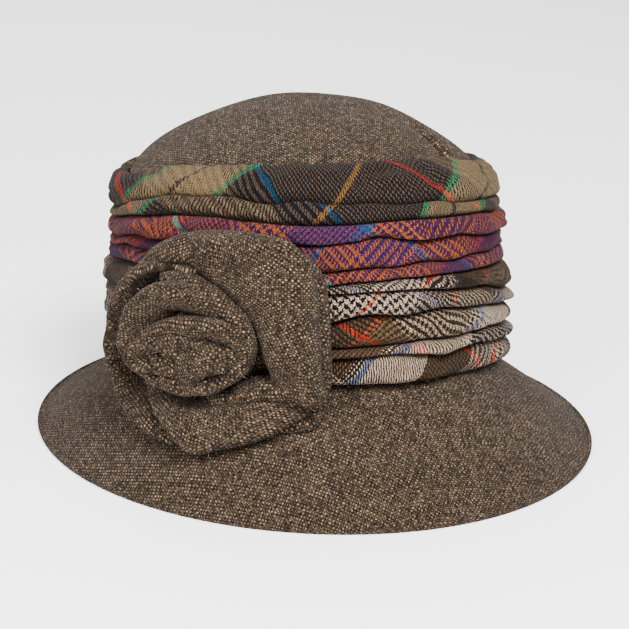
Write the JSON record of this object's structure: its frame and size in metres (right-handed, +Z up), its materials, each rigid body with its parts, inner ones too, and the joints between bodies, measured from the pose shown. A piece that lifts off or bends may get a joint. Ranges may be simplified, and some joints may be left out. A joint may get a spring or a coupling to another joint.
{
  "type": "cloche hat",
  "caption": "Brown tweed cloche hat with a deep round crown, a brim sloping down all round, gathered plaid bands wound about the crown and a large tweed rose at one side.",
  "frame": {"origin": "on the floor below the middle of the brim's edge, which is the bottom of the hat", "axes": "+Z up, -Y to the front of the hat, +X to the wearer's left"},
  "size_m": [0.262, 0.304, 0.1603],
  "materials": {
    "tweed": "dry hopsack tweed of beige and dark brown yarns",
    "plaid_lower": "bias plaid twill of brown and cream with orange and pale blue lines",
    "plaid_middle": "bias plaid twill of orange and purple with turquoise and blue lines",
    "plaid_upper": "bias plaid twill of beige and navy with green, ochre, blue and red lines"
  },
  "bodies": {
    "root": {"crown": "tweed", "brim": "tweed", "band_lower": "plaid_lower", "band_middle": "plaid_middle", "band_upper": "plaid_upper", "rose_base_petal": "tweed", "rose_outer_petal": "tweed", "rose_left_petal": "tweed", "rose_lower_petal": "tweed", "rose_coil": "tweed", "rose_heart": "tweed"}
  },
  "joints": []
}
